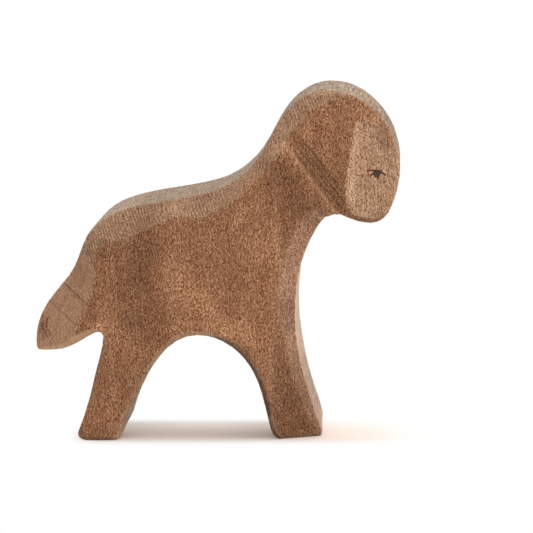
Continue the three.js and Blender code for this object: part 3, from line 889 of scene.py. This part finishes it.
def board_places(nodes, colour):
    """Paler and darker places of the board, with painted shade at some of the darker ones and along the
    soles.
    """
    pale = nodes.times(nodes.strongest(PALE_OFF_CHEST), nodes.rest_of(nodes.attribute("chest")))
    off_rim = nodes.times(nodes.patch(*PALE_OFF_RIM), nodes.rest_of(nodes.attribute("rim")))
    on_bevel = nodes.times(nodes.patch(*PALE_ON_BEVEL), nodes.attribute("bevel"))
    pale = nodes.largest(pale, nodes.strongest(PALE_ON_ALL), off_rim, on_bevel)
    colour = nodes.tint(pale, colour, PALE_TINT)
    streak = nodes.times(
        nodes.step_mm(nodes.x, STREAK_LEFT), nodes.step_mm(nodes.x, STREAK_RIGHT),
        nodes.step_mm(nodes.z, STREAK_FOOT), nodes.step_mm(nodes.z, STREAK_HEAD),
    )
    breaks = nodes.step(nodes.marks(STAIN_BREAKS), *STAIN_BREAK_EDGE)
    patchy = nodes.scaled(breaks, 0.5, 0.5)
    dark = nodes.times(nodes.largest(streak, nodes.strongest(DARK_STAIN_AND_SHADE_PLACES)), patchy, DARK_SHARE)
    colour = nodes.mix(dark, colour, linear(DARK_STAIN_AND_SHADE))
    # Painted shade along the foot of the soles: contact shadow and the downward edge break
    sole = nodes.times(nodes.step_mm(nodes.z, SOLE_EDGE), DARK_SHARE)
    colour = nodes.mix(sole, colour, linear(SOLE_SHADE))
    return nodes.mix(nodes.strongest(FAINT_PLACES), colour, linear(DARK_STAIN_AND_SHADE))


def sawn_grain(nodes, colour):
    """The grain of the sawn band, drawn out across it."""
    grain = nodes.noise(nodes.where, [1 / (length * MM) for length in SAWN_GRAIN], *SAWN_GRAIN_LAYERS)
    share = nodes.scaled(nodes.step_mm(nodes.z, CROWN_LEVEL), CROWN_GRAIN_SHARE, SAWN_GRAIN_SHARE)
    share = nodes.times(share, nodes.attribute("end_grain"))
    colour = nodes.tint(nodes.times(nodes.step(grain, *GRAIN_PALE_EDGE), share), colour, GRAIN_PALE)
    return nodes.tint(nodes.times(nodes.step(grain, *GRAIN_DARK_EDGE), share), colour, GRAIN_DARK)


def collar_streaks(nodes, colour):
    """Streaks left along the collar's cut."""
    streaks = nodes.marks(COLLAR_STREAKS, nodes.turned(collar_tilt()))
    cut = nodes.attribute("collar_cut")
    dark = nodes.times(nodes.step(streaks, *STREAK_DARK_EDGE), cut, STREAK_DARK_SHARE)
    pale = nodes.times(nodes.step(streaks, *STREAK_PALE_EDGE), cut, STREAK_PALE_SHARE)
    return nodes.mix(pale, nodes.mix(dark, colour, linear(STREAK_DARK)), linear(STREAK_PALE))


def flecks(nodes, colour, pores, rays, wander):
    """Fine upright flecks in loose rows: dark pores and pale rays, weaker on the cuts."""
    strength = 1.0
    for mask, loss in FLECK_LOSSES:
        strength = nodes.scaled(nodes.attribute(mask), -loss, strength)
    face = nodes.attribute("face")
    jitter = nodes.times(nodes.marks(ROW_JITTER), JITTER * MM)
    rows = nodes.ring_lines(nodes.plus(nodes.x, wander, jitter), ROW_SPACING)
    pore_rows = nodes.scaled(rows, *PORE_ROWS)
    ray_rows = nodes.scaled(rows, *RAY_ROWS)
    pore_strength = nodes.scaled(face, -PORE_LOSS_ON_FACE, strength)
    pore_share = nodes.times(nodes.step(pores, *FLECK_EDGE), pore_strength)
    pore_share = nodes.math("MULTIPLY", pore_share, pore_rows, clamp=True)
    ray_strength = nodes.scaled(face, -RAY_LOSS_ON_FACE, strength)
    ray_share = nodes.times(nodes.step(rays, *FLECK_EDGE), ray_strength)
    ray_share = nodes.math("MULTIPLY", ray_share, ray_rows, clamp=True)
    colour = nodes.tint(ray_share, colour, RAY_TINT)
    colour = nodes.tint(pore_share, colour, PORE_TINT)
    return nodes.tint(nodes.step(nodes.marks(MOTTLE), *MOTTLE_EDGE), colour, MOTTLE_TINT)


def worn_places(nodes, colour):
    """Worn arrises, and darker hollows."""
    ragged = nodes.step(nodes.marks(WEAR_BREAKS), *WEAR_EDGE)
    worn = nodes.times(ragged, nodes.attribute("wear"), WORN_SHARE)
    colour = nodes.mix(worn, colour, linear(WORN_ARRIS))
    under = nodes.times(nodes.attribute("worn_under"), WORN_UNDER_SHARE)
    colour = nodes.mix(under, colour, linear(WORN_UNDER_TAIL))
    return nodes.mix(nodes.times(nodes.attribute("hollow"), HOLLOW_SHARE), colour, linear(HOLLOW_DARK))


def stained_wood():
    nodes = MaterialNodes("stained_wood")
    wander = nodes.times(nodes.marks(RING_WANDER), WANDER * MM)
    pores = nodes.marks(PORES)
    rays = nodes.marks(RAYS)
    colour, ring_share = growth_rings(nodes, stain(nodes), wander)
    colour = board_places(nodes, colour)
    colour = sawn_grain(nodes, colour)
    colour = collar_streaks(nodes, colour)
    colour = flecks(nodes, colour, pores, rays, wander)
    colour = worn_places(nodes, colour)
    roughness = nodes.scaled(pores, PORE_ROUGHNESS, ROUGHNESS)
    roughness = nodes.scaled(nodes.attribute("wear"), -WORN_SMOOTHER, roughness)
    height = nodes.math("SUBTRACT", nodes.times(rays, RAY_HEIGHT), nodes.step(pores, *PORE_PIT_EDGE))
    height = nodes.scaled(ring_share, -RING_DEPTH, height)
    return nodes.finished(nodes.matt(colour, roughness, height, strength=0.55, depth=0.06))


def eye_paint():
    nodes = MaterialNodes("eye_paint")
    brush = nodes.marks(BRUSH)
    colour = nodes.mix(nodes.step(brush, *BRUSH_EDGE), linear(PAINT_DEEP), linear(PAINT_PALE))
    colour = nodes.mix(nodes.attribute("thin"), colour, linear(PAINT_THIN))
    roughness = nodes.scaled(brush, BRUSH_ROUGHNESS, PAINT_ROUGHNESS)
    return nodes.finished(nodes.matt(colour, roughness, brush, strength=0.3, depth=0.02))


def stroke_distance(points, stroke):
    """How far outside a tapering brush stroke each point lies, less than 0 inside it."""
    nearest = np.full(len(points), FAR)
    for (ax, az, ar), (bx, bz, br) in zip(stroke, stroke[1:]):
        a = np.array([ax, az])
        run = np.array([bx, bz]) - a
        share = np.clip((points - a) @ run / (run @ run), 0, 1)
        gap = np.linalg.norm(points - a - share[:, None] * run, axis=1)
        nearest = np.minimum(nearest, gap - (ar + share * (br - ar)))
    return nearest


def eye_distance(points):
    return np.min([stroke_distance(points, stroke) for stroke in STROKES], axis=0)


def drawn_to_strokes(grid):
    """The grid with the points by the edge of the strokes moved onto that edge."""
    reach = 1e-3
    near = np.abs(eye_distance(grid)) < PAINT_REACH * PAINT_CELL
    for _ in range(PAINT_ROUNDS):
        distance = eye_distance(grid)
        steps = (np.array([reach, 0]), np.array([0, reach]))
        rises = [eye_distance(grid + step) - eye_distance(grid - step) for step in steps]
        slope = np.stack(rises, axis=1) / (2 * reach)
        size = np.maximum(np.sum(slope * slope, axis=1), LEAST_SLOPE)
        grid[near] -= (distance / size)[near, None] * slope[near]
    return grid


def eye_sheet():
    """The painted area as a fine sheet of squares, its border drawn onto the edge of the strokes."""
    run = np.array([spot[:2] for stroke in STROKES for spot in stroke])
    low, high = run.min(0) - PAINT_MARGIN, run.max(0) + PAINT_MARGIN
    columns, rows = np.ceil((high - low) / PAINT_CELL).astype(int)
    xs = low[0] + PAINT_CELL * np.arange(columns + 1)
    zs = low[1] + PAINT_CELL * np.arange(rows + 1)
    grid = drawn_to_strokes(np.stack(np.meshgrid(xs, zs, indexing="ij"), axis=-1).reshape(-1, 2))
    inside = eye_distance(grid) < PAINT_OVERLAP * PAINT_CELL
    faces = []
    for i in range(columns):
        for j in range(rows):
            corner = i * (rows + 1) + j
            square = (corner, corner + rows + 1, corner + rows + 2, corner + 1)
            if all(inside[index] for index in square):
                faces.append(square)
    used = sorted({index for face in faces for index in face})
    order = {index: place for place, index in enumerate(used)}
    return grid[used], [tuple(order[index] for index in face) for face in faces]


def paint_eye(body_tree, side, name):
    """Lays the painted eye on one cheek; side is -1 for the right and 1 for the left."""
    spots, faces = eye_sheet()
    distance = eye_distance(spots)
    points = []
    for (x, z), depth in zip(spots, distance):
        start = Vector((x * MM, side * CAST_FROM * MM, z * MM))
        hit, normal, _, _ = body_tree.ray_cast(start, Vector((0, -side, 0)))
        thickness = PAINT_LIFT * min(1.0, max(0.0, -depth / PAINT_EDGE))
        points.append(hit + normal * (thickness + PAINT_GAP) * MM)
    if side > 0:
        faces = [tuple(reversed(face)) for face in faces]
    mesh = bpy.data.meshes.new(name)
    mesh.from_pydata(points, [], faces)
    keep(mesh, "thin", before(-distance, THIN_PAINT))
    mesh.shade_smooth()
    eye = bpy.data.objects.new(name, mesh)
    bpy.context.scene.collection.objects.link(eye)
    return eye


def floor_material():
    """A pale table, plain white to the camera beyond the reach of the shadow."""
    nodes = MaterialNodes("pale_table")
    kept = nodes.scaled(nodes.step_mm(nodes.y, SHADOW_DEPTH), -BACK_LIFT, 1.0)
    for edge in (SHADOW_LEFT, SHADOW_RIGHT):
        kept = nodes.times(kept, nodes.rest_of(nodes.step_mm(nodes.x, edge)))
    for edge in (SHADOW_FRONT, SHADOW_BACK):
        kept = nodes.times(kept, nodes.rest_of(nodes.step_mm(nodes.y, edge)))
    lifted = nodes.scaled(kept, BASE_LIFT - 1, 1.0)
    seen = nodes.background_rays()
    table = nodes.add("ShaderNodeBsdfDiffuse")
    nodes.feed(table.inputs[0], nodes.mix(seen, FLOOR_TONE, FLOOR_IN_SHADOW))
    white = nodes.add("ShaderNodeEmission")
    nodes.feed(white.inputs[0], nodes.mix(nodes.step(lifted, *BOUNCE_EDGE), BOUNCE, WHITE))
    mixed = nodes.add("ShaderNodeMixShader")
    for socket, value in zip(mixed.inputs, (nodes.times(lifted, seen), table.outputs[0], white.outputs[0])):
        nodes.feed(socket, value)
    return nodes.finished(mixed.outputs[0])


def make_floor():
    near, far = -FLOOR_HALF, FLOOR_HALF
    mesh = bpy.data.meshes.new("table_top")
    mesh.from_pydata([(near, near, 0), (far, near, 0), (far, far, 0), (near, far, 0)], [], [(0, 1, 2, 3)])
    mesh.materials.append(floor_material())
    floor = bpy.data.objects.new("table_top", mesh)
    bpy.context.scene.collection.objects.link(floor)


def make_world():
    """An even white tent; what looks straight at it sees plain white."""
    world = bpy.data.worlds.new("white_tent")
    bpy.context.scene.world = world
    world.use_nodes = True
    nodes = Nodes(world.node_tree)
    strength = nodes.scaled(nodes.background_rays(), 1.0 - TENT_STRENGTH, TENT_STRENGTH)
    background = nodes.add("ShaderNodeBackground")
    nodes.feed(background.inputs["Strength"], strength)
    nodes.feed(nodes.add("ShaderNodeOutputWorld").inputs[0], background.outputs[0])


def make_lamps():
    for name, (place, side, power) in LAMPS.items():
        light = bpy.data.lights.new(name, "AREA")
        light.shape = "SQUARE"
        light.size = side
        light.energy = power
        lamp = bpy.data.objects.new(name, light)
        lamp.location = place
        lamp.rotation_mode = "QUATERNION"
        lamp.rotation_quaternion = (Vector(LAMP_TARGET) - Vector(place)).to_track_quat("-Z", "Y")
        bpy.context.scene.collection.objects.link(lamp)


def make_camera():
    azimuth, elevation, roll = (
        math.radians(angle) for angle in (CAMERA_AZIMUTH, CAMERA_ELEVATION, CAMERA_ROLL)
    )
    level = Vector((math.cos(azimuth), math.sin(azimuth), 0))
    flat_ahead = Vector((-math.sin(azimuth), math.cos(azimuth), 0))
    ahead = flat_ahead * math.cos(elevation) - Vector((0, 0, math.sin(elevation)))
    upright = level.cross(ahead)
    right = level * math.cos(roll) + upright * math.sin(roll)
    up = upright * math.cos(roll) - level * math.sin(roll)
    camera = bpy.data.cameras.new("camera")
    camera.sensor_width = SENSOR
    camera.lens = PIXELS_PER_MM * CAMERA_DISTANCE / IMAGE_SIDE * SENSOR
    camera.clip_start, camera.clip_end = CLIP
    holder = bpy.data.objects.new("camera", camera)
    place = (Vector(CAMERA_TARGET) - ahead * CAMERA_DISTANCE) * MM
    axes = Matrix((right, up, -ahead)).transposed()
    holder.matrix_world = Matrix.Translation(place) @ axes.to_4x4()
    bpy.context.scene.collection.objects.link(holder)
    bpy.context.scene.camera = holder


def dress_lamb():
    body, facing = remeshed_copy(frame["nodes"]["lamb_body"], "carved_lamb")
    Skin(body.data, facing).keep_all()
    body.data.materials.append(stained_wood())
    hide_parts("lamb_body")
    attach(body, "root")
    tree = BVHTree.FromObject(body, bpy.context.evaluated_depsgraph_get())
    paint = eye_paint()
    for side, name in ((-1, "right_eye"), (1, "left_eye")):
        eye = paint_eye(tree, side, name)
        eye.data.materials.append(paint)
        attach(eye, "root")


dress_lamb()
make_floor()
make_world()
make_lamps()
make_camera()
bpy.context.scene.view_settings.view_transform = "Standard"
